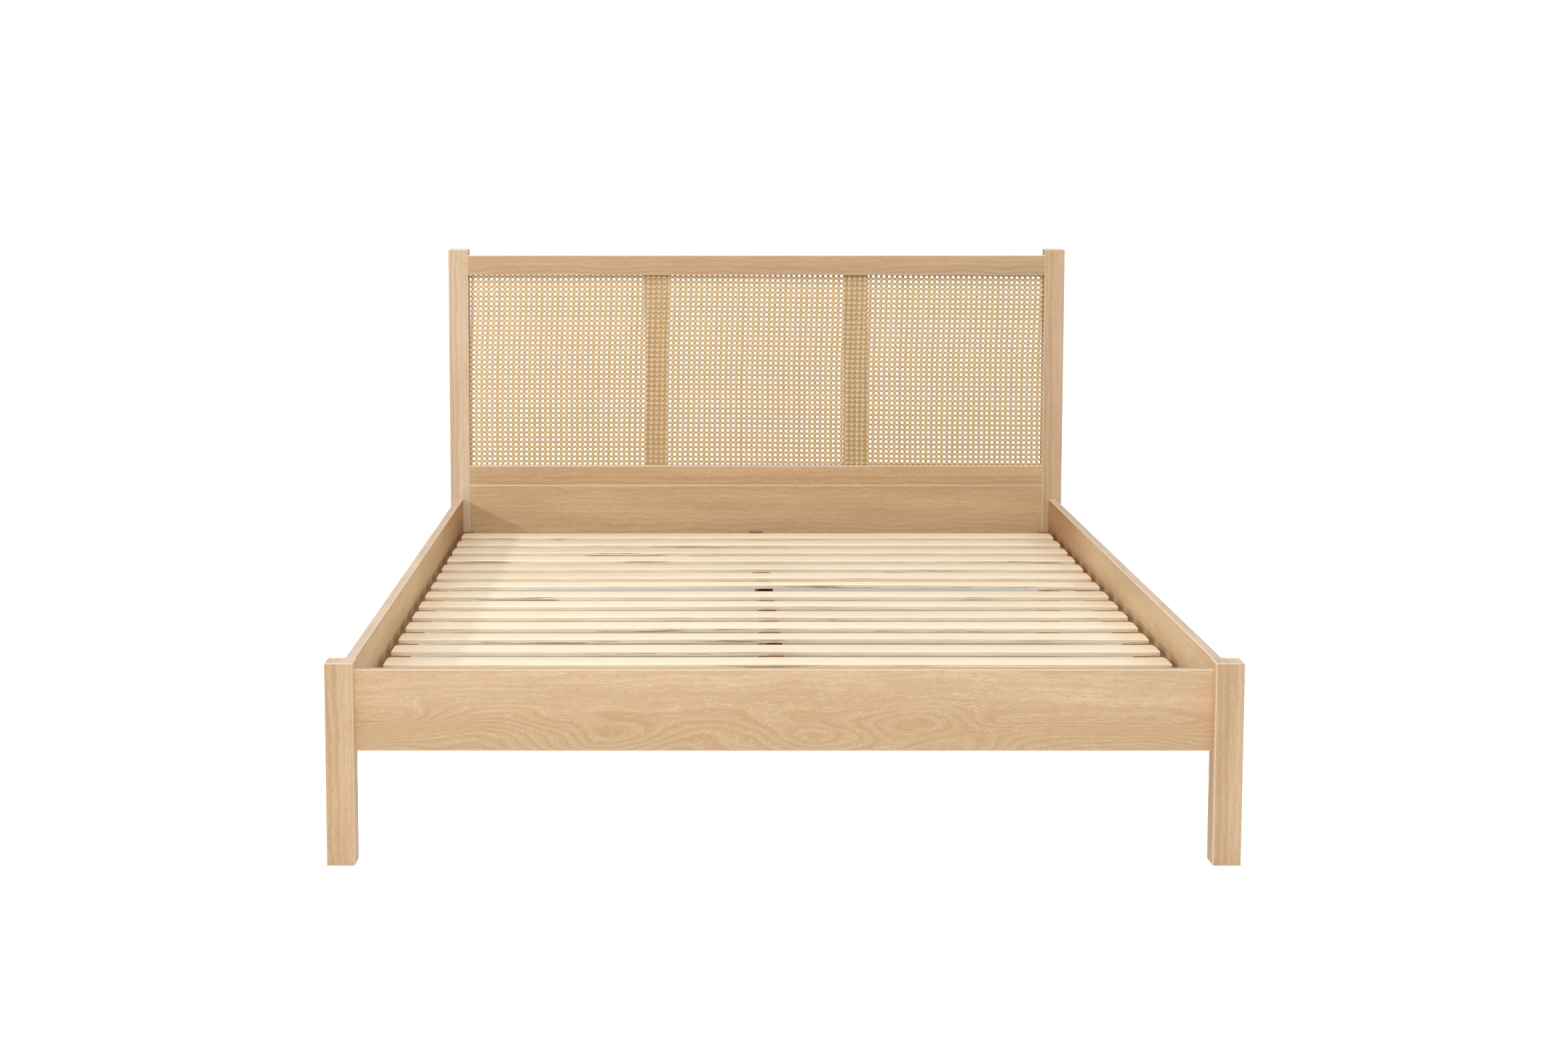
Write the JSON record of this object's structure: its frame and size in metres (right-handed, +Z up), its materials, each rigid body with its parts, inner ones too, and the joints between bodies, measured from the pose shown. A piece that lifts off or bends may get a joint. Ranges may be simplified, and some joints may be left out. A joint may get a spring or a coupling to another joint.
{
  "type": "wooden bed frame",
  "caption": "Slatted wooden bed frame with square posts, low footboard, side rails and a tall headboard with a woven cane panel between two rails.",
  "frame": {"origin": "on the floor, under the middle of the bed", "axes": "+Y runs from the foot to the head, +X to the right seen from the foot, +Z up"},
  "size_m": [1.6, 2.1, 1],
  "materials": {
    "oak": "satin natural oak, fine straight grain",
    "pine": "planed softwood, stained tan",
    "slat_pine": "planed raw pine, pale cream",
    "cane": "glossy natural cane strands",
    "reed": "matt round reed",
    "beech": "fluted beech dowel",
    "steel": "zinc plated",
    "zinc": "cast zinc",
    "black_plastic": "fine texture"
  },
  "bodies": {
    "frame": {"head_post_left": "oak", "head_post_right": "oak", "foot_post_left": "oak", "foot_post_right": "oak", "headboard_top_rail": "oak", "headboard_lower_rail": "oak", "headboard_lower_board": "oak", "cane_upright_left": "oak", "cane_upright_right": "oak", "footboard": "oak", "side_rail_left": "oak", "side_rail_right": "oak", "side_ledger_left": "pine", "side_ledger_right": "pine", "centre_beam": "pine", "centre_leg": "pine", "slat_01": "slat_pine", "slat_02": "slat_pine", "slat_03": "slat_pine", "slat_04": "slat_pine", "slat_05": "slat_pine", "slat_06": "slat_pine", "slat_07": "slat_pine", "slat_08": "slat_pine", "slat_09": "slat_pine", "slat_10": "slat_pine", "slat_11": "slat_pine", "slat_12": "slat_pine", "slat_13": "slat_pine", "slat_14": "slat_pine", "slat_15": "slat_pine", "slat_16": "slat_pine", "cane_sheet": "cane", "cane_spline": "reed", "headboard_dowels": "beech", "footboard_dowels": "beech", "upright_pins": "beech", "slat_staples": "steel", "beam_bracket_head": "steel", "beam_bracket_foot": "steel", "bracket_screws": "steel", "leg_hanger_bolt": "steel", "leg_insert_nut": "steel", "rail_hook_plates": "steel", "post_catch_plates": "steel", "hook_plate_screws": "steel", "ledger_screws": "steel", "headboard_cam_bolts": "steel", "footboard_cam_bolts": "steel", "headboard_cams": "zinc", "footboard_cams": "zinc"},
    "levelling_foot": {"foot_stud": "steel", "foot_pad": "black_plastic"}
  },
  "joints": [
    {"name": "foot_height", "type": "slide", "parent": "frame", "child": "levelling_foot", "axis": [0, 0, 1], "range_m": [0, 0.01]}
  ]
}
